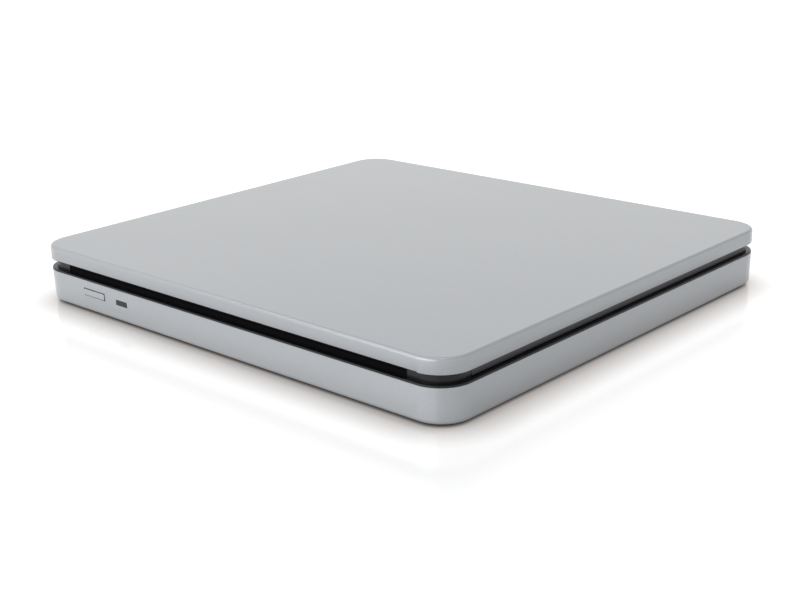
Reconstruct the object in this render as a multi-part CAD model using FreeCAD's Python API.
"""Slim external optical drive with a front disc slot, as an assembly of separate pieces.

Frame: millimetres, +Z up, -Y is the front with the disc slot, +X is the right-hand side seen
from the front.  The origin is on the surface that the feet stand on, under the middle of the case.
Z values that start with z_ are heights above that surface.
"""
import FreeCAD
import Part
import math
import os
from FreeCAD import Vector

# ---------------------------------------------------------------- housing sizes
width = 146.6
depth = 134.0
corner_radius = 8.2
foot_height = 0.6
foot_radius = 3.9
foot_recess = 0.3
case_height = 8.6
case_wall = 1.4
case_floor = 1.4
case_bottom_fillet = 1.0
case_taper = 0.26
lip_height = 0.5
lip_inset = 0.05
lip_round = 0.3
slot_step = 0.1
skirt_depth = 1.2
skirt_thickness = 1.0
bar_gap = 0.2
middle_height = 2.96
middle_inset = 1.4
middle_wall = 1.6
post_top_gap = 0.9
cover_rim = 3.74
cover_wall = 1.2
cover_sheet = 1.1
cover_edge_fillet = 0.7
cover_notch_rise = 0.19
cover_notch_width = 130.4
slot_width = 122.6
seam_from_front = 10.0
seam_gap = 0.15
fit_gap = 0.05

# ---------------------------------------------------------------- fasteners
boss_radius = 2.4
boss_side_inset = 6.2
boss_front_inset = 11.0
boss_back_inset = 15.0
screw_radius = 1.0
screw_head_radius = 2.0
screw_head_height = 1.2
screw_head_depth = 1.1
screw_engagement = 3.5
screw_fit = 0.03

# ---------------------------------------------------------------- button and light
button_width = 8.65
button_height = 1.6
button_side_inset = 24.2
button_drop = 3.2
button_gap = 0.25
button_proud = 0.05
button_flange = 0.7
button_flange_thickness = 0.6
button_stem_width = 2.6
button_stem_height = 1.4
button_travel = 0.4
window_width = 4.5
window_height = 1.4
window_from_button = 11.7
window_drop = 3.45

# ---------------------------------------------------------------- drive unit sizes
drive_side_inset = 9.3
drive_front_inset = 3.1
drive_back_inset = 8.6
drive_top_gap = 0.1
drive_corner = 2.0
chassis_floor = 0.8
chassis_wall = 1.0
chassis_front_drop = 0.3
pass_gap = 0.25
plate_sheet = 0.7
plate_flange = 0.5
plate_flange_depth = 5.0
plate_flange_end = 8.0
plate_ring_outer = 20.0
plate_ring_inner = 16.0
plate_ring_depth = 0.3
felt_thickness = 1.2
felt_setback = 1.6
felt_end_gap = 0.3
felt_split = 0.2
disc_thickness = 1.2
disc_slot_gap = 0.75
spindle_back = 64.0

# ---------------------------------------------------------------- gear train sizes
gear_module = 0.5
gear_backlash = 0.07
gear_pin_radius = 1.0
running_fit = 0.03
gear_thickness = 1.8
second_gear_teeth = 24
pinion_teeth = 12
wheel_teeth = 22
rack_teeth = 18
slider_travel = 16.0
slider_length = 50.0
slider_ahead = 20.0
slider_wall = 1.2
slider_height = 6.3
slider_base = 0.8
slider_side_inset = 28.5
rack_reach = 8.4
second_gear_ahead = 7.0
worm_radius = 1.6
worm_length = 11.0
worm_pitch = 1.57
motor_width = 9.8
motor_height = 6.4
motor_length = 15.0

# ---------------------------------------------------------------- arm sizes
arm_thickness = 0.8
arm_hang = 1.4
arm_hub_radius = 3.2
arm_tip_radius = 1.7
arm_pin_radius = 1.2
eject_pivot_side_inset = 37.5
eject_pivot_back_inset = 3.9
eject_tip_x = -22.0
eject_tip_back_inset = 2.1
loading_pivot_side_inset = 19.0
loading_pivot_front_inset = 33.5
loading_tip_side_inset = 30.5
loading_tip_front_inset = 4.7
roller_radius = 2.5
roller_height = 2.5
roller_pin_radius = 0.8
roller_waist = 0.35

# ---------------------------------------------------------------- traverse sizes
traverse_lift_angle = 1.8
pivot_side_inset = 18.5
pivot_back_inset = 7.9
pivot_rise = 4.1
pivot_pin_radius = 1.0
pivot_half_length = 11.0
lug_width = 4.0
lug_thickness = 4.0
bush_radius = 2.2
frame_rise = 3.6
frame_sheet = 0.8
frame_corner = 5.0
frame_wall_gap = 0.5
slider_gap = 2.0
frame_inner_end = -15.0
frame_end_inset = 3.2
frame_side_a = 24.6
frame_side_b = 23.0
window_inner_end = 8.0
window_end_inset = 4.5
window_side_a = 17.2
window_side_b = 15.5
rod_radius = 0.9
rod_rise = 6.0
main_rod_side = 20.0
sub_rod_side = 18.0
rod_start = 4.0
main_rod_end_inset = 4.5
sub_rod_back_gap = 2.1
clamp_length = 3.0
clamp_width = 3.6
clamp_height = 2.7
screw_side = 28.0
screw_rise = 4.9
lead_screw_radius = 1.0
lead_screw_start = 8.0
feed_motor_radius = 2.9
feed_motor_length = 11.0
feed_motor_wall_gap = 0.25
bracket_sheet = 0.8
bracket_margin = 2.4
lens_inner_radius = 23.0
lens_radius = 2.0
sled_outer_reach = 5.7
sled_cover_outer = 9.4
sled_cover_inner = 4.9
sled_cover_half = 9.5
sled_cover_sheet = 0.2
pickup_top_gap = 0.3
pickup_rise = 3.3
sleeve_radius = 1.5
turntable_radius = 13.0
turntable_thickness = 0.9
pad_height = 0.45
pad_width = 3.0
rotor_radius = 9.5
rotor_wall = 0.6
rotor_gap = 0.5
rotor_roof = 0.4
shaft_radius = 1.0
chuck_radius = 7.35
chuck_height = 2.2
stator_poles = 9

# ---------------------------------------------------------------- electronics sizes
board_thickness = 1.0
board_rise = 1.0
board_gap = 0.3
board_strip_reach = 40.0
board_side_reach = 72.0
usb_side_inset = 21.3
usb_width = 7.7
usb_height = 3.95
usb_depth = 7.9
usb_shell = 0.3
usb_recess = 0.2
usb_opening_gap = 0.35
contact_pitch = 0.8
contact_width = 0.4
connector_width = 28.0
crystal_width = 2.5
crystal_length = 5.0
crystal_height = 1.2
bridge_size = 5.5
regulator_length = 6.0
regulator_width = 4.0
small_chip_height = 1.0
chip_row_pitch = 8.0
bridge_crystal_from_end = 14.0
capacitor_width = 0.8
capacitor_length = 1.6
capacitor_height = 0.7
capacitor_pitch = 2.0
strip_capacitors_from_end = 9.0
strip_capacitors_back = 3.5
controller_size = 14.0
controller_height = 1.15
memory_width = 8.0
memory_length = 10.0
driver_size = 7.0
chip_gap = 1.0
flex_socket_depth = 3.5
flex_socket_lengths = (10.0, 5.0)
flex_socket_gap = 0.2
flex_mouth_depth = 2.0
flex_mouth_height = 0.4
connector_side_inset = 32.0
main_board_thickness = 0.8

# ---------------------------------------------------------------- heights that follow
z_case = foot_height
z_floor = z_case + case_floor
z_case_top = z_case + case_height
z_lip = z_case_top + lip_height
z_slot_low = z_lip - slot_step
z_bar = z_lip + bar_gap
z_rim = z_case_top + middle_height
z_notch = z_rim + cover_notch_rise
z_top = z_rim + cover_rim
z_under_cover = z_top - cover_sheet
z_drive = z_floor
z_chassis = z_drive + chassis_floor
z_drive_top = z_under_cover - drive_top_gap
z_plate = z_drive_top - plate_sheet
z_disc = z_slot_low + disc_slot_gap
z_arm = z_plate - arm_hang
z_frame = z_drive + frame_rise
z_frame_top = z_frame + frame_sheet
z_board = z_floor + board_rise
z_board_top = z_board + board_thickness

front = -depth / 2
back = depth / 2
drive_front = front + drive_front_inset
drive_back = back - drive_back_inset
drive_width = width - 2 * drive_side_inset
chassis_half = drive_width / 2 - plate_flange
inner_half = chassis_half - chassis_wall
inner_front = drive_front + chassis_wall
inner_back = drive_back - chassis_wall
spindle_y = front + spindle_back
button_x = -width / 2 + button_side_inset
window_x = button_x + window_from_button
usb_x = width / 2 - usb_side_inset
connector_x = drive_width / 2 - connector_side_inset
board_strip_end_x = connector_x - board_strip_reach
board_side_end_y = back - board_side_reach
slider_x = inner_half - slider_side_inset
rack_x = slider_x + rack_reach
second_gear_y = spindle_y - second_gear_ahead
eject_pivot = (inner_half - eject_pivot_side_inset, inner_back - eject_pivot_back_inset)
eject_tip = (eject_tip_x, inner_back - eject_tip_back_inset)
loading_pivot = (loading_pivot_side_inset - inner_half, inner_front + loading_pivot_front_inset)
loading_tip = (loading_tip_side_inset - inner_half, inner_front + loading_tip_front_inset)

# The traverse lies along the line from the spindle to its pivot in the back left corner.
pivot_x = pivot_side_inset - inner_half
pivot_y = inner_back - pivot_back_inset
pivot_radius = math.hypot(pivot_x, pivot_y - spindle_y)
traverse_heading = math.degrees(math.atan2(pivot_y - spindle_y, pivot_x))
heading_cos = pivot_x / pivot_radius
heading_sin = (pivot_y - spindle_y) / pivot_radius
frame_outer_end = pivot_radius - frame_end_inset
window_outer_end = pivot_radius - window_end_inset
main_rod_length = pivot_radius - main_rod_end_inset - rod_start
sub_rod_end = (inner_back - sub_rod_back_gap - spindle_y + sub_rod_side * heading_cos) / heading_sin
sub_rod_length = sub_rod_end - rod_start
feed_motor_side = (screw_side + feed_motor_radius) * heading_sin
feed_motor_end = (inner_half - feed_motor_wall_gap - feed_motor_side) / -heading_cos
screw_end = feed_motor_end - feed_motor_length
lead_screw_length = screw_end - lead_screw_start
shapes = {}


# ---------------------------------------------------------------- small helpers
def block(x0, x1, y0, y1, z0, z1):
    """A box between two corners, given as ranges."""
    return Part.makeBox(x1 - x0, y1 - y0, z1 - z0, Vector(x0, y0, z0))


def post(radius, x, y, z0, z1):
    """An upright cylinder."""
    return Part.makeCylinder(radius, z1 - z0, Vector(x, y, z0))


def rod_along_y(radius, x, z, y0, y1):
    """A cylinder that lies along Y."""
    return Part.makeCylinder(radius, y1 - y0, Vector(x, y0, z), Vector(0, 1, 0))


def rod_along_x(radius, y, z, x0, x1):
    """A cylinder that lies along X."""
    return Part.makeCylinder(radius, x1 - x0, Vector(x0, y, z), Vector(1, 0, 0))


def rounded_wire(x0, x1, y0, y1, radius, z):
    """A rectangle with round corners, as a closed wire at height z."""
    k = radius * (1 - math.sqrt(0.5))
    points = [(x0 + radius, y0), (x1 - radius, y0), (x1, y0 + radius), (x1, y1 - radius),
              (x1 - radius, y1), (x0 + radius, y1), (x0, y1 - radius), (x0, y0 + radius)]
    middles = [(x1 - k, y0 + k), (x1 - k, y1 - k), (x0 + k, y1 - k), (x0 + k, y0 + k)]
    corners = [Vector(x, y, z) for x, y in points]
    edges = []
    for i in range(4):
        start, end, after = corners[2 * i], corners[2 * i + 1], corners[(2 * i + 2) % 8]
        middle = Vector(middles[i][0], middles[i][1], z)
        edges.append(Part.LineSegment(start, end).toShape())
        edges.append(Part.Arc(end, middle, after).toShape())
    return Part.Wire(edges)


def rounded_block(x0, x1, y0, y1, radius, z0, z1):
    """An upright prism on a rectangle with round corners."""
    face = Part.Face(rounded_wire(x0, x1, y0, y1, radius, z0))
    return face.extrude(Vector(0, 0, z1 - z0))


def housing_wire(inset, z):
    """The housing's outline in plan, moved inwards by inset."""
    x, y = width / 2 - inset, depth / 2 - inset
    return rounded_wire(-x, x, -y, y, max(corner_radius - inset, 0.5), z)


def housing_block(inset, z0, z1):
    """An upright prism on the housing's outline, moved inwards by inset."""
    return Part.Face(housing_wire(inset, z0)).extrude(Vector(0, 0, z1 - z0))


def housing_ring(outer_inset, inner_inset, z0, z1):
    """A closed ring that follows the housing's outline."""
    return housing_block(outer_inset, z0, z1).cut(housing_block(inner_inset, z0 - 1, z1 + 1))


def polygon_prism(points, direction):
    """A prism on a flat polygon of Vectors."""
    return Part.Face(Part.makePolygon(points + [points[0]])).extrude(direction)


def capsule(x0, y0, x1, y1, r0, r1, z0, z1):
    """A bar with round ends of two radii, as an arm or a slot."""
    length = math.hypot(x1 - x0, y1 - y0)
    angle = math.degrees(math.atan2(y1 - y0, x1 - x0))
    lean = math.asin((r0 - r1) / length)
    s, c = math.sin(lean), math.cos(lean)
    flat = [Vector(r0 * s, r0 * c, z0), Vector(length + r1 * s, r1 * c, z0),
            Vector(length + r1 * s, -r1 * c, z0), Vector(r0 * s, -r0 * c, z0)]
    bar = polygon_prism(flat, Vector(0, 0, z1 - z0))
    bar = bar.fuse([post(r0, 0, 0, z0, z1), post(r1, length, 0, z0, z1)])
    bar.rotate(Vector(0, 0, 0), Vector(0, 0, 1), angle)
    bar.translate(Vector(x0, y0, 0))
    return bar


def fillet_at_height(shape, z, radius):
    """Round every edge that lies flat at height z."""
    edges = [e for e in shape.Edges if abs(e.BoundBox.ZMin - z) < 1e-4 and abs(e.BoundBox.ZMax - z) < 1e-4]
    return shape.makeFillet(radius, edges)


def clean(shape):
    """The shape with its split faces merged; a single solid comes out of its compound."""
    refined = shape.removeSplitter()
    return refined.Solids[0] if len(refined.Solids) == 1 else refined


def group(solids):
    """Several separate solids for one node."""
    return Part.makeCompound([clean(s) for s in solids])


def on_traverse(shape):
    """Turn a shape from the traverse's own frame (x outwards from the spindle) into the part's."""
    placed = shape.copy()
    placed.rotate(Vector(0, 0, 0), Vector(0, 0, 1), traverse_heading)
    placed.translate(Vector(0, spindle_y, 0))
    return placed


def save(name, shape):
    """Keep a node's shape under its name."""
    shapes[name] = clean(shape) if len(shape.Solids) == 1 else shape


# ---------------------------------------------------------------- places that several pieces share
boss_x = width / 2 - boss_side_inset
boss_places = [(sx * boss_x, y) for sx in (-1, 1) for y in (front + boss_front_inset, back - boss_back_inset)]
mount_x = inner_half - 4.5
mount_places = [(sx * mount_x, y) for sx in (-1, 1) for y in (inner_front + 10.9, inner_back - 7.4)]
mount_screw_radius = 0.9
mount_head_radius = 1.8
mount_head_height = 0.6
cross_half = 1.2
cross_width = 0.5
cross_depth = 0.3
plate_screw_radius = 0.7
plate_head_radius = 1.5
plate_head_height = 0.35
plate_screw_length = 2.8
plate_boss_radius = 2.0
plate_boss_x = inner_half - 1.5
plate_boss_places = [(sx * plate_boss_x, y) for sx in (-1, 1) for y in (inner_front + 15.0, inner_back - 7.4)]
side_strip_x = drive_width / 2 + board_gap
board_outer_inset = case_wall + board_gap
board_screw_radius = 0.8
board_screw_places = [((side_strip_x + width / 2 - board_outer_inset) / 2, board_side_end_y + 4.0),
                      (board_strip_end_x + 4.0, (drive_back + back - case_wall) / 2)]
board_post_radius = 1.5
z_button = z_case_top - button_drop
z_window = z_case_top - window_drop
slot_half = slot_width / 2


# ---------------------------------------------------------------- housing
def make_bottom_case():
    """Silver tray: drafted walls, round bottom edge, bosses, board posts, ribs and openings."""
    outer = Part.makeLoft([housing_wire(case_taper, z_case), housing_wire(0, z_case_top)], True, True)
    outer = fillet_at_height(outer, z_case, case_bottom_fillet)
    case = outer.cut(housing_block(case_wall, z_floor, z_case_top + 1))
    boss_top = z_case_top
    for x, y in boss_places:
        case = case.fuse(post(boss_radius, x, y, z_case + 0.2, boss_top))
    for x, y in board_screw_places:
        case = case.fuse(post(board_post_radius, x, y, z_floor, z_board))
    rib_thickness = 1.2
    rib_height = 5.0
    rib_pitch = 26.0
    for i in range(-1, 2):
        y = i * rib_pitch
        case = case.fuse(block(-width / 2 + case_wall / 2, -drive_width / 2 - board_gap,
                               y - rib_thickness / 2, y + rib_thickness / 2, z_floor, z_floor + rib_height))
    right = block(drive_width / 2 + board_gap, width / 2 - case_wall / 2, -rib_pitch - rib_thickness / 2,
                  -rib_pitch + rib_thickness / 2, z_floor, z_floor + rib_height)
    case = case.fuse(right)
    z_seat = z_case + foot_recess + screw_head_depth + screw_head_height
    for x, y in boss_places:
        case = case.cut(post(foot_radius, x, y, z_case - 1, z_case + foot_recess))
        case = case.cut(post(screw_head_radius + screw_fit, x, y, z_case - 1, z_seat))
        case = case.cut(post(screw_radius + screw_fit, x, y, z_case - 1, boss_top + 1))
    for x, y in mount_places:
        case = case.cut(post(mount_head_radius + screw_fit, x, y, z_case - 1, z_case + mount_head_height))
        case = case.cut(post(mount_screw_radius + screw_fit, x, y, z_case - 1, z_floor + 1))
    for x, y in board_screw_places:
        case = case.cut(post(board_screw_radius + screw_fit, x, y, z_floor - 0.1, z_board + 1))
    wall_y0, wall_y1 = front - 1, front + case_wall + 0.1
    case = case.cut(block(button_x - button_width / 2 - button_gap, button_x + button_width / 2 + button_gap,
                          wall_y0, wall_y1, z_button - button_height / 2 - button_gap,
                          z_button + button_height / 2 + button_gap))
    case = case.cut(block(window_x - window_width / 2 - fit_gap, window_x + window_width / 2 + fit_gap,
                          wall_y0, wall_y1, z_window - window_height / 2 - fit_gap,
                          z_window + window_height / 2 + fit_gap))
    case = case.cut(rounded_slot_y(usb_x, z_board_top + usb_height / 2, usb_width + 2 * usb_opening_gap,
                                   usb_height + 2 * usb_opening_gap, back - case_wall - 0.1, back + 1))
    return case


def rounded_slot_y(x, z, size_x, size_z, y0, y1):
    """A rectangular hole with slightly round corners through a wall that faces Y."""
    corner = 0.5
    hole = rounded_block(x - size_x / 2, x + size_x / 2, z - size_z / 2, z + size_z / 2, corner, 0, y1 - y0)
    hole.rotate(Vector(0, 0, 0), Vector(1, 0, 0), 90)
    hole.translate(Vector(0, y1, 0))
    return hole


def make_lower_frame():
    """Dark ring: lip on the case wall, skirt inside it, and the two front corner posts."""
    inner = middle_inset + middle_wall
    lip = fillet_at_height(housing_block(lip_inset, z_case_top, z_lip), z_lip, lip_round)
    lip = lip.cut(housing_block(inner, z_case_top - 1, z_lip + 1))
    skirt_inset = case_wall + fit_gap
    skirt = housing_ring(skirt_inset, skirt_inset + skirt_thickness, z_case_top - skirt_depth, z_case_top)
    usb_half = usb_width / 2 + usb_opening_gap
    skirt = skirt.cut(block(usb_x - usb_half, usb_x + usb_half, back - inner, back, z_board_top,
                            z_board_top + usb_height + usb_opening_gap))
    posts = housing_ring(middle_inset, inner, z_lip, z_under_cover - post_top_gap)
    seam_y = front + seam_from_front
    posts = posts.common(block(-width, width, front - 1, seam_y, 0, z_top))
    frame = lip.fuse([skirt, posts])
    slot = block(-slot_half, slot_half, front - 1, front + inner + 0.1, z_slot_low, z_top)
    return frame.cut(slot)


def make_upper_frame():
    """Dark U-shaped bar under the cover, round both sides and the back."""
    inner = middle_inset + middle_wall
    bar = housing_ring(middle_inset, inner, z_bar, z_under_cover)
    flange = housing_ring(middle_inset, inner + 0.6, z_under_cover - 0.8, z_under_cover)
    bar = bar.fuse(flange)
    seam_y = front + seam_from_front + seam_gap
    return bar.common(block(-width, width, seam_y, back + 1, 0, z_top))


def make_top_cover():
    """Silver pressed shell: round edge, short rim with a raised stretch over the slot, screw bosses."""
    outer = fillet_at_height(housing_block(0, z_rim, z_top), z_top, cover_edge_fillet)
    cover = outer.cut(housing_block(cover_wall, z_rim - 1, z_under_cover))
    notch_half = cover_notch_width / 2
    cover = cover.cut(block(-notch_half, notch_half, front - 1, front + cover_wall + 1, z_rim - 1, z_notch))
    for x, y in boss_places:
        cover = cover.fuse(post(boss_radius, x, y, z_case_top + fit_gap, z_under_cover + 0.1))
    for x, y in boss_places:
        z_tip = z_case_top + screw_engagement
        cover = cover.cut(post(screw_radius, x, y, z_case_top, z_tip))
    return cover


def make_rubber_feet():
    """Four round rubber feet in their recesses, over the case screws."""
    feet = []
    for x, y in boss_places:
        foot = post(foot_radius - fit_gap, x, y, 0, z_case + foot_recess)
        feet.append(fillet_at_height(foot, 0, 0.35))
    return group(feet)


def make_case_screws():
    """Four screws from below through the case bosses into the cover bosses."""
    screws = []
    z_seat = z_case + foot_recess + screw_head_depth + screw_head_height
    for x, y in boss_places:
        head = post(screw_head_radius, x, y, z_seat - screw_head_height, z_seat)
        shank = post(screw_radius, x, y, z_seat, z_case_top + screw_engagement)
        drive = post(screw_head_radius * 0.45, x, y, z_seat - screw_head_height - 0.1, z_seat - 0.7)
        screws.append(head.fuse(shank).cut(drive))
    return group(screws)


def make_eject_button():
    """Silver key cap with a flange behind the wall and a stem to the switch."""
    half_w, half_h = button_width / 2, button_height / 2
    y_flange = front + case_wall + fit_gap
    cap = block(button_x - half_w, button_x + half_w, front - button_proud, y_flange,
                z_button - half_h, z_button + half_h)
    edges = [e for e in cap.Edges if abs(e.BoundBox.XLength) < 1e-6 and abs(e.BoundBox.ZLength) < 1e-6]
    cap = cap.makeFillet(0.3, edges)
    flange = block(button_x - half_w - button_flange, button_x + half_w + button_flange, y_flange,
                   y_flange + button_flange_thickness, z_button - half_h - button_flange,
                   z_button + half_h + button_flange)
    stem_end = inner_front - button_travel - fit_gap
    stem = block(button_x - button_stem_width / 2, button_x + button_stem_width / 2,
                 y_flange + button_flange_thickness, stem_end,
                 z_button - button_stem_height / 2, z_button + button_stem_height / 2)
    return cap.fuse([flange, stem])


def make_led_window():
    """Light pipe: its end shows in the front wall, a flange stops it, and it reaches the light."""
    half_w, half_h = window_width / 2, window_height / 2
    y_in = front + case_wall
    pipe = block(window_x - half_w, window_x + half_w, front + fit_gap, inner_front + 0.6,
                 z_window - half_h, z_window + half_h)
    flange = block(window_x - half_w - button_flange, window_x + half_w + button_flange, y_in,
                   y_in + button_flange_thickness, z_window - half_h - button_flange,
                   z_window + half_h + button_flange)
    return pipe.fuse(flange)


def make_felt(z0, z1):
    """One black felt strip behind the slot."""
    half = slot_half - felt_end_gap
    y0 = front + felt_setback
    return block(-half, half, y0, y0 + felt_thickness, z0, z1).common(housing_block(middle_inset, z0, z1))


# ---------------------------------------------------------------- electronics beside the drive
def make_bridge_board():
    """L-shaped board along the back and the right side, with a hole round the case boss."""
    board = housing_block(board_outer_inset, z_board, z_board_top)
    back_strip = block(board_strip_end_x, width, drive_back + board_gap, back, z_board - 1, z_board_top + 1)
    side_strip = block(side_strip_x, width, board_side_end_y, back, z_board - 1, z_board_top + 1)
    board = board.common(back_strip.fuse(side_strip))
    for x, y in boss_places:
        board = board.cut(post(boss_radius + board_gap, x, y, z_board - 1, z_board_top + 1))
    for x, y in board_screw_places:
        board = board.cut(post(board_screw_radius + screw_fit, x, y, z_board - 1, z_board_top + 1))
    return board


def make_board_screws():
    """Two small screws that hold the bridge board on its posts."""
    screws = []
    for x, y in board_screw_places:
        head = post(board_screw_radius * 2, x, y, z_board_top, z_board_top + 0.9)
        shank = post(board_screw_radius, x, y, z_floor, z_board_top)
        screws.append(head.fuse(shank))
    return group(screws)


def chip(x, y, size_x, size_y, height, z):
    """A chip body on a board."""
    return block(x - size_x / 2, x + size_x / 2, y - size_y / 2, y + size_y / 2, z, z + height)


def capacitor(x, y, z):
    """A small capacitor on a board, its long side along Y."""
    return chip(x, y, capacitor_width, capacitor_length, capacitor_height, z)


def make_bridge_chips():
    """The bridge chip, its crystal, a regulator and capacitors on the side strip."""
    x = (side_strip_x + width / 2 - board_outer_inset) / 2
    y = board_side_end_y + bridge_crystal_from_end
    bridge_y = y + chip_row_pitch
    regulator_y = bridge_y + chip_row_pitch
    parts = [chip(x, y, crystal_width, crystal_length, crystal_height, z_board_top),
             chip(x, bridge_y, bridge_size, bridge_size, small_chip_height, z_board_top),
             chip(x, regulator_y, regulator_length, regulator_width, small_chip_height, z_board_top)]
    for i in range(4):
        parts.append(capacitor(x + (i - 1.5) * capacitor_pitch, regulator_y + chip_row_pitch, z_board_top))
    for i in range(5):
        x = board_strip_end_x + strip_capacitors_from_end + i * capacitor_pitch
        parts.append(capacitor(x, drive_back + strip_capacitors_back, z_board_top))
    return group(parts)


def usb_profile(shrink, y):
    """The mini socket's mouth: wide at the top, narrower below a step."""
    half, low = usb_width / 2 - shrink, usb_width / 2 - 0.75 - shrink
    z0, z1 = z_board_top + shrink, z_board_top + usb_height - shrink
    step = z_board_top + 1.5
    points = [(-low, z0), (low, z0), (low, step - 0.4), (half, step + 0.35), (half, z1), (-half, z1),
              (-half, step + 0.35), (-low, step - 0.4)]
    return [Vector(usb_x + x, y, z) for x, z in points]


def make_usb_socket():
    """Folded steel shell of the socket, closed at the inner end."""
    y1 = back - usb_recess
    y0 = y1 - usb_depth
    shell = polygon_prism(usb_profile(0, y0), Vector(0, usb_depth, 0))
    hollow = polygon_prism(usb_profile(usb_shell, y0 + usb_shell), Vector(0, usb_depth, 0))
    return shell.cut(hollow)


def make_usb_tongue():
    """Black insulator: a block at the inner end and the tongue with its five contacts' grooves."""
    y0 = back - usb_recess - usb_depth + usb_shell
    block_end = y0 + 1.6
    base = polygon_prism(usb_profile(usb_shell, y0), Vector(0, block_end - y0, 0))
    z_tongue = z_board_top + 2.3
    tongue = block(usb_x - 2.3, usb_x + 2.3, block_end, back - usb_recess - 1.0, z_tongue, z_tongue + 0.7)
    piece = base.fuse(tongue)
    for i in range(-2, 3):
        x = usb_x + i * contact_pitch
        groove = block(x - contact_width / 2, x + contact_width / 2, block_end, back, z_tongue - 0.1,
                       z_tongue + 0.15)
        piece = piece.cut(groove)
    return piece


connector_height = 3.0
connector_depth = 4.6
tongue_reach = 2.2
tongue_thickness = 0.8


def make_bridge_connector():
    """Plug on the bridge board with a tongue that enters the drive's connector."""
    half = connector_width / 2
    y0 = drive_back + board_gap
    body = block(connector_x - half, connector_x + half, y0, y0 + connector_depth, z_board_top,
                 z_board_top + connector_height)
    z_mid = z_board_top + connector_height / 2
    tongue = block(connector_x - half + 2, connector_x + half - 2, drive_back - tongue_reach, y0,
                   z_mid - tongue_thickness / 2, z_mid + tongue_thickness / 2)
    return body.fuse(tongue)


def make_drive_connector():
    """Receptacle at the back of the drive."""
    half = connector_width / 2 + 1
    z0 = z_main_top
    z_mid = z_board_top + connector_height / 2
    body = block(connector_x - half, connector_x + half, drive_back - 4.8, drive_back, z0, z0 + 2.6)
    hollow = block(connector_x - half + 2.6, connector_x + half - 2.6, drive_back - tongue_reach - 0.4,
                   drive_back + 1, z_mid - tongue_thickness / 2 - 0.1, z_mid + tongue_thickness / 2 + 0.1)
    return body.cut(hollow)


# ---------------------------------------------------------------- drive body
slider_front = second_gear_y - slider_ahead
slider_back = slider_front + slider_length
main_board_rise = 0.8
main_board_side_inset = 8.5
main_board_width = 41.0
main_board_slider_gap = 2.4
main_board_depth = inner_back - slider_back - main_board_slider_gap
main_board_back_gap = 0.6
main_board_right = inner_half - main_board_side_inset
main_board_left = main_board_right - main_board_width
z_main = z_chassis + main_board_rise
z_main_top = z_main + main_board_thickness
main_post_inset = 4.0
main_post_front = inner_back - main_board_depth + main_post_inset
main_post_places = [(main_board_left + main_post_inset, main_post_front),
                    (main_board_right - main_post_inset, main_post_front),
                    (main_board_right - main_post_inset, inner_back - 2 * main_post_inset)]
guide_boss_radius = 1.5
guide_boss_height = 1.2
guide_boss_x = slider_x + 4.5
guide_boss_ys = (second_gear_y - 14.0, second_gear_y + 10.0)
z_slider = z_chassis + 0.1
second_pitch_radius = gear_module * second_gear_teeth / 2
pinion_pitch_radius = gear_module * pinion_teeth / 2
wheel_pitch_radius = gear_module * wheel_teeth / 2
mesh_slack = 0.05
tooth_tip = 0.42
second_gear_x = rack_x + second_pitch_radius + mesh_slack
first_gear_x = second_gear_x + 1.35
gear_distance = second_pitch_radius + pinion_pitch_radius + mesh_slack
first_gear_y = second_gear_y - math.sqrt(gear_distance ** 2 - (first_gear_x - second_gear_x) ** 2)
z_gear = z_chassis + 0.2
z_wheel = z_gear + gear_thickness + 0.4
wheel_thickness = 1.6
worm_x = first_gear_x + wheel_pitch_radius + tooth_tip + 0.08 + worm_radius
z_worm = z_chassis + motor_height / 2
worm_front = first_gear_y - worm_length / 2
worm_shaft_radius = 0.5
motor_back = worm_front - 1.5
bearing_gap = 0.8
bearing_thickness = 1.2
bearing_half = 1.5


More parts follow.
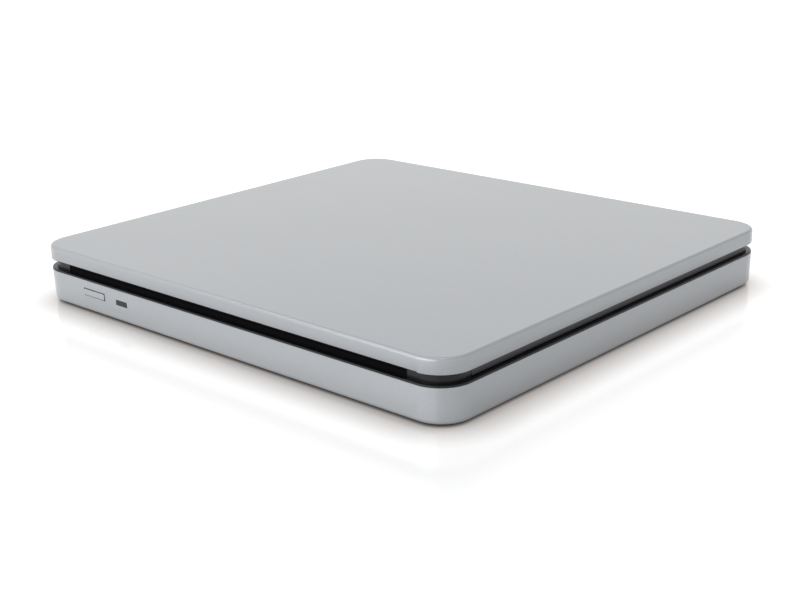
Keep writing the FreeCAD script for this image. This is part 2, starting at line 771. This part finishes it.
def make_drive_chassis():
    """Cast tray of the drive: walls, low front wall, floor windows, bosses, lugs and openings."""
    outer = rounded_block(-chassis_half, chassis_half, drive_front, drive_back, drive_corner, z_drive,
                          z_plate)
    inner = rounded_block(-inner_half, inner_half, inner_front, inner_back, drive_corner - 0.8, z_chassis,
                          z_plate + 1)
    chassis = outer.cut(inner)
    z_front = z_slot_low - chassis_front_drop
    chassis = chassis.cut(block(-slot_half - 0.2, slot_half + 0.2, drive_front - 1, inner_front + 0.1,
                                z_front, z_plate + 1))
    adds = [post(plate_boss_radius, x, y, z_drive + 0.1, z_plate) for x, y in plate_boss_places]
    adds += [post(2.0, x, y, z_drive + 0.1, z_chassis + 1.5) for x, y in mount_places]
    adds += [post(1.6, x, y, z_drive + 0.1, z_main) for x, y in main_post_places]
    adds += [post(guide_boss_radius, guide_boss_x, y, z_drive + 0.1, z_chassis + guide_boss_height)
             for y in guide_boss_ys]
    lug_z1 = z_drive + pivot_rise + bush_radius + 0.7
    for s in (-1, 1):
        side = sorted((s * pivot_half_length, s * (pivot_half_length - lug_thickness)))
        lug = block(pivot_radius - lug_width / 2 - 0.9, pivot_radius + lug_width / 2 + 0.6, side[0], side[1],
                    z_drive + 0.1, lug_z1)
        adds.append(on_traverse(lug))
    bearing_y = worm_front + worm_length + bearing_gap
    adds.append(block(worm_x - bearing_half, worm_x + bearing_half, bearing_y, bearing_y + bearing_thickness,
                      z_drive + 0.1, z_worm + bearing_half))
    board_stop_y = front_board_y + front_board_thickness
    for x in (board_x0, board_x1 - board_stop_width):
        adds.append(block(x, x + board_stop_width, board_stop_y, board_stop_y + board_stop_thickness,
                          z_drive + 0.1, z_chassis + board_stop_height))
    chassis = chassis.fuse(adds)
    chassis = chassis.common(block(-chassis_half, chassis_half, drive_front, drive_back, z_drive, z_plate))
    for x, y in plate_boss_places:
        chassis = chassis.cut(post(plate_screw_radius, x, y, z_plate - 3.0, z_plate + 1))
    for x, y in mount_places:
        chassis = chassis.cut(post(mount_screw_radius, x, y, z_drive - 1, z_chassis + 1.0))
    bush = rod_along_y(bush_radius, pivot_radius, z_drive + pivot_rise, -pivot_half_length, pivot_half_length)
    chassis = chassis.cut(on_traverse(bush))
    bore = rod_along_y(worm_shaft_radius + running_fit, worm_x, z_worm, bearing_y - 1, bearing_y + 3)
    chassis = chassis.cut(bore)
    spindle_hole = post(rotor_radius + 6.0, 0, spindle_y, z_drive - 1, z_chassis + 0.1)
    track = rounded_block(window_inner_end - 1, window_outer_end - 12, -window_side_b + 2, window_side_a - 2,
                          3.0, z_drive - 1, z_chassis + 0.1)
    chassis = chassis.cut(spindle_hole.fuse(on_traverse(track)))
    for x, z, size_x, size_z in ((button_x, z_button, button_stem_width, button_stem_height),
                                 (window_x, z_window, window_width, window_height)):
        half_x, half_z = size_x / 2 + pass_gap, size_z / 2 + pass_gap
        chassis = chassis.cut(block(x - half_x, x + half_x, drive_front - 1, inner_front + 0.1,
                                    z - half_z, z + half_z))
    half = connector_width / 2 + 1.1
    return chassis.cut(block(connector_x - half, connector_x + half, inner_back - 0.1, drive_back + 1,
                             z_main_top - 0.1, z_main_top + 2.7))


def make_drive_top_plate():
    """Pressed lid of the drive: side flanges, a pressed ring over the spindle and screw seats."""
    half = drive_width / 2
    plate = rounded_block(-half, half, drive_front, drive_back, drive_corner, z_plate, z_drive_top)
    for s in (-1, 1):
        x = sorted((s * half, s * chassis_half))
        flange = block(x[0], x[1], drive_front + plate_flange_end, drive_back - plate_flange_end,
                       z_plate - plate_flange_depth, z_plate + 0.1)
        plate = plate.fuse(flange)
    ring = post(plate_ring_outer, 0, spindle_y, z_drive_top - plate_ring_depth, z_top)
    plate = plate.cut(ring.cut(post(plate_ring_inner, 0, spindle_y, z_plate, z_top)))
    for x, y in plate_boss_places:
        plate = plate.cut(post(plate_screw_radius + screw_fit, x, y, z_plate - 1, z_drive_top + 1))
        plate = plate.cut(post(plate_head_radius + screw_fit, x, y, z_drive_top - plate_head_height, z_top))
    return plate


def make_plate_screws():
    """Four flush screws that hold the top plate on the chassis bosses."""
    screws = []
    for x, y in plate_boss_places:
        head = post(plate_head_radius, x, y, z_drive_top - plate_head_height, z_drive_top)
        shank = post(plate_screw_radius, x, y, z_plate - plate_screw_length, z_drive_top - plate_head_height)
        screws.append(head.fuse(shank))
    return group(screws)


def make_drive_screws():
    """Four screws from below through the case floor into the chassis."""
    screws = []
    for x, y in mount_places:
        head = post(mount_head_radius, x, y, z_case, z_case + mount_head_height)
        shank = post(mount_screw_radius, x, y, z_case + mount_head_height, z_chassis + 0.9)
        z_end = z_case + cross_depth
        z, arm = z_case - 0.1, cross_width / 2
        slot = block(x - cross_half, x + cross_half, y - arm, y + arm, z, z_end)
        cross = block(x - arm, x + arm, y - cross_half, y + cross_half, z, z_end)
        screws.append(head.fuse(shank).cut(slot.fuse(cross)))
    return group(screws)


def make_main_board():
    """The drive's own board, on three posts at the back right."""
    return block(main_board_left, main_board_right, inner_back - main_board_depth,
                 inner_back - main_board_back_gap, z_main, z_main_top)


def make_main_chips():
    """Controller, memory, regulator, motor driver and a row of capacitors on the main board."""
    y0, z = inner_back - main_board_depth + chip_gap, z_main_top
    driver_x = main_board_left + flex_socket_depth + 2 * chip_gap + driver_size / 2
    controller_x = driver_x + (driver_size + controller_size) / 2 + chip_gap
    memory_x = controller_x + (controller_size + memory_width) / 2 + chip_gap
    row_x = memory_x + memory_width / 2 + chip_gap + capacitor_width / 2
    middle_y = y0 + controller_size / 2
    parts = [chip(driver_x, middle_y, driver_size, driver_size, small_chip_height, z),
             chip(controller_x, middle_y, controller_size, controller_size, controller_height, z),
             chip(memory_x, y0 + memory_length / 2, memory_width, memory_length, small_chip_height, z),
             chip(memory_x, y0 + memory_length + chip_gap + regulator_width / 2, regulator_length,
                  regulator_width, small_chip_height, z)]
    for i in range(6):
        parts.append(capacitor(row_x, y0 + capacitor_length / 2 + i * capacitor_pitch, z))
    return group(parts)


def make_flex_connectors():
    """Two low sockets on the board's left edge, under the frame, for the traverse's flat cables."""
    x0, y, z = main_board_left + chip_gap, inner_back - main_board_depth + chip_gap, z_main_top
    z_mouth = (z + z_frame - flex_socket_gap - flex_mouth_height) / 2
    parts = []
    for length in flex_socket_lengths:
        body = block(x0, x0 + flex_socket_depth, y, y + length, z, z_frame - flex_socket_gap)
        mouth = block(x0 - 1, x0 + flex_mouth_depth, y + flex_mouth_height, y + length - flex_mouth_height,
                      z_mouth, z_mouth + flex_mouth_height)
        parts.append(body.cut(mouth))
        y += length + chip_gap
    return group(parts)


board_button_margin = 8.0
board_window_margin = 4.5
board_x0 = button_x - board_button_margin
board_x1 = window_x + board_window_margin
board_stop_width = 2.0
board_stop_thickness = 1.2
board_stop_height = 4.5
front_board_height = 5.6
front_board_inset = 2.3
switch_width = 6.0
switch_height = 3.5
switch_front_gap = 0.7
plunger_radius = 0.9
plunger_gap = 0.05
light_width = 2.0
light_height = 1.2
light_front_gap = 0.8
front_board_thickness = 0.8
front_board_y = inner_front + front_board_inset


def make_front_board():
    """Upright strip board behind the front wall."""
    return block(board_x0, board_x1, front_board_y, front_board_y + front_board_thickness,
                 z_chassis, z_chassis + front_board_height)


def make_eject_switch():
    """Side-push switch that the button's stem reaches at the end of its travel."""
    front = inner_front + switch_front_gap
    body = block(button_x - switch_width / 2, button_x + switch_width / 2, front, front_board_y,
                 z_button - switch_height / 2, z_button + switch_height / 2)
    return body.fuse(rod_along_y(plunger_radius, button_x, z_button, inner_front + plunger_gap, front))


def make_status_light():
    """Small light behind the light pipe."""
    return block(window_x - light_width / 2, window_x + light_width / 2, inner_front + light_front_gap,
                 front_board_y, z_window - light_height / 2, z_window + light_height / 2)


# ---------------------------------------------------------------- loading drive
def gear_blank(teeth, phase, thickness, z):
    """A spur gear with straight-flanked teeth; the first tooth points along phase degrees."""
    pitch_radius = gear_module * teeth / 2
    root, tip = pitch_radius - 0.58, pitch_radius + tooth_tip
    half_pitch = math.pi * gear_module / 4 - gear_backlash
    points = []
    for i in range(teeth):
        middle = math.radians(phase + 360.0 * i / teeth)
        for radius, half in ((root, half_pitch + 0.16), (tip, half_pitch - 0.17)):
            points.append((radius, middle - half / radius))
        for radius, half in ((tip, half_pitch - 0.17), (root, half_pitch + 0.16)):
            points.append((radius, middle + half / radius))
    flat = [Vector(r * math.cos(a), r * math.sin(a), z) for r, a in points]
    return polygon_prism(flat, Vector(0, 0, thickness))


second_phase = 180.0 / second_gear_teeth
contact_angle = math.degrees(math.atan2(first_gear_y - second_gear_y, first_gear_x - second_gear_x))
lead = (contact_angle - second_phase) % (360.0 / second_gear_teeth)
pinion_phase = contact_angle + 180.0 + lead * second_gear_teeth / pinion_teeth + 180.0 / pinion_teeth


def make_second_gear():
    """Idler gear between the pinion and the slider's rack."""
    gear = gear_blank(second_gear_teeth, second_phase, gear_thickness, z_gear)
    gear = gear.fuse(post(2.0, 0, 0, z_gear, z_gear + gear_thickness + 0.4))
    gear = gear.cut(post(gear_pin_radius + running_fit, 0, 0, 0, z_top))
    gear.translate(Vector(second_gear_x, second_gear_y, 0))
    return gear


def make_first_gear():
    """Double gear: the worm wheel above its pinion."""
    pinion = gear_blank(pinion_teeth, pinion_phase, gear_thickness, z_gear)
    wheel = gear_blank(wheel_teeth, 0.0, wheel_thickness, z_wheel)
    hub = post(1.9, 0, 0, z_gear, z_wheel + 0.1)
    gear = pinion.fuse([hub, wheel])
    gear = gear.cut(post(gear_pin_radius + running_fit, 0, 0, 0, z_top))
    gear.translate(Vector(first_gear_x, first_gear_y, 0))
    return gear


def make_gear_pins():
    """Two headed pins in the chassis floor."""
    pins = []
    for x, y, z_end in ((second_gear_x, second_gear_y, z_gear + gear_thickness + 0.4),
                        (first_gear_x, first_gear_y, z_wheel + wheel_thickness)):
        shank = post(gear_pin_radius, x, y, z_chassis, z_end + 0.1)
        pins.append(shank.fuse(post(gear_pin_radius + 0.7, x, y, z_end + 0.1, z_end + 0.5)))
    return group(pins)


def make_worm():
    """Worm on its shaft, drawn as a row of round ridges clear of the wheel's tips."""
    root = worm_radius - 0.5
    points = [Vector(0, worm_front, 0), Vector(root, worm_front, 0)]
    count = int(worm_length / worm_pitch)
    start = worm_front + (worm_length - count * worm_pitch) / 2
    for i in range(count):
        y = start + i * worm_pitch
        points += [Vector(root, y + 0.1, 0), Vector(worm_radius, y + 0.5, 0), Vector(worm_radius, y + 1.0, 0),
                   Vector(root, y + 1.4, 0)]
    points += [Vector(root, worm_front + worm_length, 0), Vector(0, worm_front + worm_length, 0)]
    profile = Part.Face(Part.makePolygon(points + [points[0]]))
    worm = profile.revolve(Vector(0, 0, 0), Vector(0, 1, 0), 360)
    worm.translate(Vector(worm_x, 0, z_worm))
    shaft_end = worm_front + worm_length + bearing_gap + bearing_thickness
    shaft = rod_along_y(worm_shaft_radius, worm_x, z_worm, motor_back - 5.0, shaft_end)
    return worm.fuse(shaft)


def make_loading_motor():
    """Flat-sided motor can with a nose round the shaft."""
    can = rod_along_y(motor_width / 2, worm_x, z_worm, motor_back - motor_length, motor_back)
    flats = block(worm_x - motor_width, worm_x + motor_width, motor_back - motor_length - 1, motor_back + 1,
                  z_chassis, z_chassis + motor_height)
    nose = rod_along_y(1.4, worm_x, z_worm, motor_back - 1, motor_back + 0.6)
    motor = can.common(flats).fuse(nose)
    shaft_room = worm_shaft_radius + running_fit
    return motor.cut(rod_along_y(shaft_room, worm_x, z_worm, motor_back - 5.2, motor_back + 1))


lift_pin_rise = 5.4
lift_pin_radius = 0.8
lift_slot_gap = 0.25
z_lift_pin = z_drive + lift_pin_rise
slider_mid = slider_x + slider_wall / 2
lift_arm_reach = pivot_radius - slider_mid * heading_cos
lift_drop = lift_arm_reach * math.sin(math.radians(traverse_lift_angle))


def make_cam_slider():
    """Sliding cam plate: upright wall with the lifting slot, guided base and toothed edge."""
    z_end = z_slider + slider_height
    wall = block(slider_x, slider_x + slider_wall, slider_front, slider_back, z_slider, z_end)
    base = block(slider_x, rack_x - 0.58, slider_front, slider_back, z_slider, z_slider + slider_base)
    pitch = math.pi * gear_module
    rail_y0 = second_gear_y - 4.5 * pitch
    rail = block(rack_x - 2.0, rack_x - 0.58, rail_y0, rail_y0 + rack_teeth * pitch, z_slider, z_slider + 2.0)
    half_pitch = pitch / 4 - gear_backlash
    teeth = []
    for i in range(rack_teeth):
        y = second_gear_y + (i - 4) * pitch
        flat = [Vector(rack_x - 0.6, y - half_pitch - 0.16, z_slider),
                Vector(rack_x + tooth_tip, y - half_pitch + 0.17, z_slider),
                Vector(rack_x + tooth_tip, y + half_pitch - 0.17, z_slider),
                Vector(rack_x - 0.6, y + half_pitch + 0.16, z_slider)]
        teeth.append(polygon_prism(flat, Vector(0, 0, 2.0)))
    slider = wall.fuse([base, rail] + teeth)
    slot_radius = lift_pin_radius + lift_slot_gap
    slot = capsule(0, 0, slider_travel, -lift_drop, slot_radius, slot_radius, -1, slider_wall + 1)
    slot.rotate(Vector(0, 0, 0), Vector(1, 1, 1), 120)
    slot.translate(Vector(slider_x, spindle_y, z_lift_pin))
    slider = slider.cut(slot)
    for y in guide_boss_ys:
        gap = guide_boss_radius + 0.08
        slider = slider.cut(capsule(guide_boss_x, y - 0.3, guide_boss_x, y + slider_travel + 0.3, gap, gap,
                                    z_slider - 1, z_slider + slider_base + 0.05))
    return slider


# ---------------------------------------------------------------- arms above the disc
def make_arm(pivot, tip):
    """Flat steel arm from its pivot hub to its tip."""
    arm = capsule(*pivot, *tip, arm_hub_radius, arm_tip_radius, z_arm, z_arm + arm_thickness)
    return arm.cut(post(arm_pin_radius + running_fit, *pivot, z_arm - 1, z_arm + arm_thickness + 1))


def make_eject_arm():
    """Arm with the pin that pushes the disc's edge."""
    arm = make_arm(eject_pivot, eject_tip)
    return arm.fuse(post(arm_pin_radius, eject_tip[0], eject_tip[1], z_disc - 0.15, z_arm + 0.1))


z_roller = z_arm - roller_height - 0.1


def make_loading_arm():
    """Arm with the headed pin that the roller turns on."""
    arm = make_arm(loading_pivot, loading_tip)
    x, y = loading_tip
    arm = arm.fuse(post(roller_pin_radius, x, y, z_roller - 0.4, z_arm + 0.1))
    return arm.fuse(post(roller_pin_radius + 0.5, x, y, z_roller - 0.4, z_roller - 0.05))


def make_loading_roller():
    """Rubber roller with a waist that takes the disc's edge."""
    bore, waist = roller_pin_radius + running_fit, roller_radius - roller_waist
    profile = [(bore, 0), (roller_radius, 0), (waist, roller_height * 0.4), (waist, roller_height * 0.6),
               (roller_radius, roller_height), (bore, roller_height)]
    points = [Vector(r, 0, z) for r, z in profile]
    roller = Part.Face(Part.makePolygon(points + [points[0]])).revolve(Vector(0, 0, 0), Vector(0, 0, 1), 360)
    roller.translate(Vector(loading_tip[0], loading_tip[1], z_roller))
    return roller


def make_arm_pivots():
    """Two shouldered pins riveted to the drive's top plate."""
    pins = []
    for x, y in (eject_pivot, loading_pivot):
        shank = post(arm_pin_radius, x, y, z_arm - 0.1, z_plate)
        head = post(arm_pin_radius + 1.0, x, y, z_arm - 0.4, z_arm - 0.05)
        collar = post(arm_pin_radius + 1.0, x, y, z_arm + arm_thickness + 0.05, z_plate)
        pins.append(shank.fuse([head, collar]))
    return group(pins)


# ---------------------------------------------------------------- traverse
def make_traverse_frame():
    """Pressed steel frame with the pickup's window, the pivot knuckle and the lifting pin."""
    plate = rounded_block(frame_inner_end, frame_outer_end, -frame_side_b, frame_side_a, frame_corner,
                          z_frame, z_frame_top)
    link = block(window_outer_end, pivot_radius, -6.4, 6.4, z_frame, z_frame_top)
    knuckle = Part.makeCylinder(bush_radius, 12.8, Vector(pivot_radius, -6.4, z_drive + pivot_rise),
                                Vector(0, 1, 0))
    room = block(-inner_half + frame_wall_gap, slider_x - slider_gap, inner_front,
                 inner_back - frame_wall_gap, 0, z_top)
    plate = on_traverse(plate).common(room)
    window = rounded_block(window_inner_end, window_outer_end, -window_side_b, window_side_a, 1.5,
                           z_frame - 1, z_frame_top + 1)
    rim_room = block(-inner_half, inner_half, inner_front, inner_back - 2.8, 0, z_top)
    arm = block(10.0, slider_x - 4.0, spindle_y - 3.0, spindle_y + 3.0, z_frame + 0.2, z_frame_top)
    lug = block(slider_x - 8.0, slider_x - 4.0, spindle_y - 2.0, spindle_y + 2.0, z_frame + 0.2,
                z_lift_pin + 1.2)
    pin = rod_along_x(lift_pin_radius, spindle_y, z_lift_pin, slider_x - 4.1, slider_x + slider_wall + 0.8)
    frame = plate.fuse([on_traverse(link), on_traverse(knuckle), arm, lug, pin])
    frame = frame.cut(on_traverse(window).common(rim_room))
    bore = Part.makeCylinder(pivot_pin_radius + running_fit, 20, Vector(pivot_radius, -10,
                             z_drive + pivot_rise), Vector(0, 1, 0))
    frame = frame.cut(on_traverse(bore))
    return frame.cut(post(bearing_hole_radius, 0, spindle_y, z_frame - 1, z_frame_top + 1))


bearing_hole_radius = 5.0
sleeve_outer = 2.4
motor_base_radius = 11.0
motor_base_sheet = 0.4
z_turntable = z_disc - pad_height - turntable_thickness
z_rotor = z_frame_top + rotor_gap


def make_spindle_base():
    """Motor base under the frame with the bearing sleeve."""
    base = post(motor_base_radius, 0, 0, z_frame - motor_base_sheet, z_frame)
    sleeve = post(sleeve_outer, 0, 0, z_frame - motor_base_sheet, z_turntable - 0.5)
    base = base.fuse(sleeve)
    return on_traverse(base.cut(post(shaft_radius + running_fit, 0, 0, z_frame - 0.2, z_top)))


def make_stator():
    """Nine-pole core with its seat on the sleeve."""
    z0, z1 = z_frame_top, z_turntable - 0.7
    core = post(4.2, 0, 0, z0, z1)
    head_radius = rotor_radius - rotor_wall - 0.4
    z_low, z_high = z_rotor + 0.3, z1
    for i in range(stator_poles):
        pole = block(3.5, head_radius - 0.6, -0.7, 0.7, z_low, z_high)
        shoe = block(head_radius - 1.2, head_radius - 0.4, -1.9, 1.9, z_low, z_high)
        limb = pole.fuse(shoe)
        limb.rotate(Vector(0, 0, 0), Vector(0, 0, 1), 360.0 * i / stator_poles)
        core = core.fuse(limb)
    return on_traverse(core.cut(post(sleeve_outer, 0, 0, z0 - 1, z1 + 1)))


def make_turntable():
    """Rotor can, turntable and shaft in one piece."""
    table = post(turntable_radius, 0, 0, z_turntable, z_turntable + turntable_thickness)
    can = post(rotor_radius, 0, 0, z_rotor, z_turntable)
    can = can.cut(post(rotor_radius - rotor_wall, 0, 0, z_rotor - 1, z_turntable - rotor_roof))
    shaft = post(shaft_radius, 0, 0, z_frame - 0.15, z_turntable + 0.1)
    return on_traverse(table.fuse([can, shaft]))


def make_turntable_pad():
    """Rubber ring that the disc lies on."""
    z0 = z_turntable + turntable_thickness
    ring = post(turntable_radius, 0, 0, z0, z_disc)
    return on_traverse(ring.cut(post(turntable_radius - pad_width, 0, 0, z0 - 1, z_disc + 1)))


def make_disc_chuck():
    """Centring hub with a conical nose and three claw slots."""
    z0 = z_turntable + turntable_thickness
    hub = post(chuck_radius, 0, 0, z0, z0 + chuck_height)
    hub = hub.makeChamfer(0.7, [e for e in hub.Edges if abs(e.BoundBox.ZMin - z0 - chuck_height) < 1e-4])
    for i in range(3):
        slot = block(4.0, chuck_radius + 1, -1.3, 1.3, z0 + 0.6, z0 + chuck_height + 1)
        slot.rotate(Vector(0, 0, 0), Vector(0, 0, 1), 120.0 * i)
        hub = hub.cut(slot)
    return on_traverse(hub)


claw_root_inset = 3.05
claw_reach = 0.25
claw_foot_inset = 0.25
claw_nose_inset = 0.45
claw_rise = 0.6
claw_tip_rise = 1.5
claw_top_rise = 2.1
claw_width = 2.2


def make_chuck_claws():
    """Three sprung claws that hold the disc's centre hole."""
    z0 = z_turntable + turntable_thickness
    root = chuck_radius - claw_root_inset
    profile = [(root, claw_rise), (chuck_radius - claw_foot_inset, claw_rise),
               (chuck_radius + claw_reach, claw_tip_rise), (chuck_radius - claw_nose_inset, claw_top_rise),
               (root, claw_top_rise)]
    points = [Vector(x, -claw_width / 2, z0 + z) for x, z in profile]
    claws = []
    for i in range(3):
        claw = polygon_prism(points, Vector(0, claw_width, 0))
        claw.rotate(Vector(0, 0, 0), Vector(0, 0, 1), 120.0 * i)
        claws.append(on_traverse(claw))
    return group(claws)


z_rod = z_drive + rod_rise


def local_rod(radius, side, z, start, length):
    """A cylinder along the traverse's heading."""
    return Part.makeCylinder(radius, length, Vector(start, side, z), Vector(1, 0, 0))


def make_rod_clamps():
    """Four moulded seats that hold the rods' ends on the frame."""
    clamps = []
    for side, length in ((main_rod_side, main_rod_length), (-sub_rod_side, sub_rod_length)):
        rod = local_rod(rod_radius, side, z_rod, rod_start, length)
        for start in (rod_start, rod_start + length - clamp_length):
            seat = block(start, start + clamp_length, side - clamp_width / 2, side + clamp_width / 2,
                         z_frame_top, z_frame_top + clamp_height)
            clamps.append(on_traverse(seat.cut(rod)))
    return group(clamps)


z_screw = z_drive + screw_rise


def make_screw_bracket():
    """Folded bracket: bearing wall, motor wall, side web and two tabs under the frame."""
    low, high = z_frame - bracket_sheet, z_screw + bracket_margin
    inner_side = frame_side_a - bracket_margin
    outer_side = screw_side + 3.2
    walls = []
    for start in (lead_screw_start, screw_end - bracket_sheet):
        wall = block(start, start + bracket_sheet, frame_side_a + 0.2, outer_side, low, high)
        tab_end = start + 4.0 if start == lead_screw_start else start + bracket_sheet
        tab = block(tab_end - 4.0, tab_end, inner_side, outer_side, low, z_frame)
        walls += [wall, tab]
    web = block(lead_screw_start, screw_end, outer_side - bracket_sheet, outer_side, low, z_screw + 1.0)
    bracket = walls[0].fuse(walls[1:] + [web])
    bore = local_rod(lead_screw_radius + running_fit, screw_side, z_screw, lead_screw_start - 1,
                     lead_screw_length + 2)
    return on_traverse(bracket.cut(bore))


def make_feed_motor():
    """Round stepping motor on the bracket's motor wall."""
    can = local_rod(feed_motor_radius, screw_side, z_screw, screw_end, feed_motor_length)
    bore = local_rod(lead_screw_radius + running_fit, screw_side, z_screw, screw_end - 1, 3.1)
    return on_traverse(can.cut(bore))


def make_lead_screw():
    """Lead screw from its bearing wall into the motor; the thread is left plain."""
    screw = local_rod(lead_screw_radius, screw_side, z_screw, lead_screw_start - 0.4, lead_screw_length + 2.4)
    return on_traverse(screw)


z_pickup = z_drive + pickup_rise
z_pickup_top = z_turntable - pickup_top_gap


def make_pickup_body():
    """Die-cast sled: chamfered body, lens pocket, sleeves on the main rod and fork on the sub rod."""
    u = lens_inner_radius
    side_a, side_b = window_side_a - 1.2, window_side_b - 2.3
    outer_end = u + sled_outer_reach
    flat = [(u - 11, -side_b), (u + 1, -side_b), (outer_end, -8.0), (outer_end, side_a), (u - 11, side_a)]
    body = polygon_prism([Vector(x, y, z_pickup) for x, y in flat], Vector(0, 0, z_pickup_top - z_pickup))
    sleeve = local_rod(sleeve_radius, main_rod_side, z_rod, u - 14, 16.0)
    web = block(u - 11, u + 2, side_a - 1, main_rod_side - 0.5, z_frame_top + 0.2, z_pickup_top)
    fork = block(u - 6.5, u - 2.5, -sub_rod_side - rod_radius - 0.8, -side_b + 1, z_rod - 1.4, z_rod + 1.4)
    body = body.fuse([sleeve, web, fork])
    pocket = block(u - 4.5, u + 4.5, -5.5, 5.5, z_pickup_top - 1.4, z_pickup_top + 2)
    mouth = block(u - 7, u - 2, -sub_rod_side - rod_radius - 1.0, -sub_rod_side + rod_radius + 0.3,
                  z_rod - rod_radius - running_fit, z_rod + rod_radius + running_fit)
    bore = local_rod(rod_radius + running_fit, main_rod_side, z_rod, u - 15, 18.0)
    hollow = rounded_block(u - 9.5, u - 6, -8, 8, 1.0, z_pickup + 1, z_pickup_top + 1)
    return on_traverse(body.cut(pocket.fuse([mouth, bore, hollow])))


def make_pickup_cover():
    """Thin steel cover over the sled's inner half."""
    u = lens_inner_radius
    return on_traverse(block(u - sled_cover_outer, u - sled_cover_inner, -sled_cover_half, sled_cover_half,
                             z_pickup_top, z_pickup_top + sled_cover_sheet))


def make_laser_diode():
    """Laser in its round can at the sled's side."""
    u, side = lens_inner_radius - 9.3, window_side_b - 2.3
    can = Part.makeCylinder(1.4, 1.8, Vector(u, -side - 1.8, z_pickup + 1.8), Vector(0, 1, 0))
    return on_traverse(can)


def make_feed_follower():
    """Sprung finger that takes the screw's motion to the sled."""
    u = lens_inner_radius
    finger_end = screw_side - lead_screw_radius - fit_gap
    finger = block(u - 14, u - 10.5, main_rod_side + sleeve_radius - 0.4, finger_end,
                   z_frame_top + 0.3, z_frame_top + 1.2)
    return on_traverse(finger.cut(local_rod(sleeve_radius, main_rod_side, z_rod, u - 15, 18.0)))


def make_lens_holder():
    """Moulded lens carrier that the focus coils lift."""
    u = lens_inner_radius
    holder = rounded_block(u - 3.6, u + 3.6, -4.6, 4.6, 1.0, z_pickup_top - 0.8, z_pickup_top + 0.2)
    return on_traverse(holder.cut(post(lens_radius, u, 0, z_pickup_top - 0.3, z_pickup_top + 1)))


def make_objective_lens():
    """Domed lens in its seat."""
    u = lens_inner_radius
    lens = post(lens_radius, u, 0, z_pickup_top - 0.3, z_pickup_top + 0.25)
    dome = Part.makeSphere(4.0, Vector(u, 0, z_pickup_top + 0.5 - 4.0))
    cap = dome.common(post(lens_radius - 0.2, u, 0, z_pickup_top + 0.2, z_pickup_top + 1))
    return on_traverse(lens.fuse(cap))


def make_pivot_pin():
    """Steel pin that the traverse tilts on."""
    z_pin = z_drive + pivot_rise
    pin = rod_along_y(pivot_pin_radius, pivot_radius, z_pin, -pivot_half_length, pivot_half_length)
    return on_traverse(pin)


def make_damper_bushes():
    """Two rubber bushes in the chassis lugs round the pivot pin."""
    bushes = []
    for start in (-pivot_half_length, pivot_half_length - lug_thickness):
        end = start + lug_thickness
        outer = rod_along_y(bush_radius, pivot_radius, z_drive + pivot_rise, start, end)
        bore = rod_along_y(pivot_pin_radius, pivot_radius, z_drive + pivot_rise, start, end)
        bushes.append(on_traverse(outer.cut(bore)))
    return group(bushes)


# ---------------------------------------------------------------- build and export
save("bottom_case", make_bottom_case())
save("lower_frame", make_lower_frame())
save("upper_frame", make_upper_frame())
save("top_cover", make_top_cover())
save("rubber_feet", make_rubber_feet())
save("case_screws", make_case_screws())
save("eject_button", make_eject_button())
save("led_window", make_led_window())
save("slot_felt_lower", make_felt(z_slot_low, z_disc + disc_thickness / 2 - felt_split / 2))
save("slot_felt_upper", make_felt(z_disc + disc_thickness / 2 + felt_split / 2, z_under_cover))
save("bridge_board", make_bridge_board())
save("board_screws", make_board_screws())
save("bridge_chips", make_bridge_chips())
save("usb_socket", make_usb_socket())
save("usb_tongue", make_usb_tongue())
save("bridge_connector", make_bridge_connector())
save("drive_connector", make_drive_connector())
save("drive_chassis", make_drive_chassis())
save("drive_top_plate", make_drive_top_plate())
save("plate_screws", make_plate_screws())
save("drive_screws", make_drive_screws())
save("main_board", make_main_board())
save("main_chips", make_main_chips())
save("flex_connectors", make_flex_connectors())
save("front_board", make_front_board())
save("eject_switch", make_eject_switch())
save("status_light", make_status_light())
save("first_gear", make_first_gear())
save("second_gear", make_second_gear())
save("gear_pins", make_gear_pins())
save("worm", make_worm())
save("loading_motor", make_loading_motor())
save("cam_slider", make_cam_slider())
save("eject_arm", make_eject_arm())
save("loading_arm", make_loading_arm())
save("loading_roller", make_loading_roller())
save("arm_pivots", make_arm_pivots())
save("traverse_frame", make_traverse_frame())
save("spindle_base", make_spindle_base())
save("stator", make_stator())
save("turntable", make_turntable())
save("turntable_pad", make_turntable_pad())
save("disc_chuck", make_disc_chuck())
save("chuck_claws", make_chuck_claws())
save("main_rod", on_traverse(local_rod(rod_radius, main_rod_side, z_rod, rod_start, main_rod_length)))
save("sub_rod", on_traverse(local_rod(rod_radius, -sub_rod_side, z_rod, rod_start, sub_rod_length)))
save("rod_clamps", make_rod_clamps())
save("screw_bracket", make_screw_bracket())
save("feed_motor", make_feed_motor())
save("lead_screw", make_lead_screw())
save("pickup_body", make_pickup_body())
save("pickup_cover", make_pickup_cover())
save("laser_diode", make_laser_diode())
save("feed_follower", make_feed_follower())
save("lens_holder", make_lens_holder())
save("objective_lens", make_objective_lens())
save("pivot_pin", make_pivot_pin())
save("damper_bushes", make_damper_bushes())

os.makedirs("parts", exist_ok=True)
for node_name, node_shape in shapes.items():
    node_shape.exportStep("parts/" + node_name + ".step")
    volume = round(node_shape.Volume, 2)
    print(node_name, len(node_shape.Solids), "solids", volume, "mm3", node_shape.isValid())
print(len(shapes), "nodes")
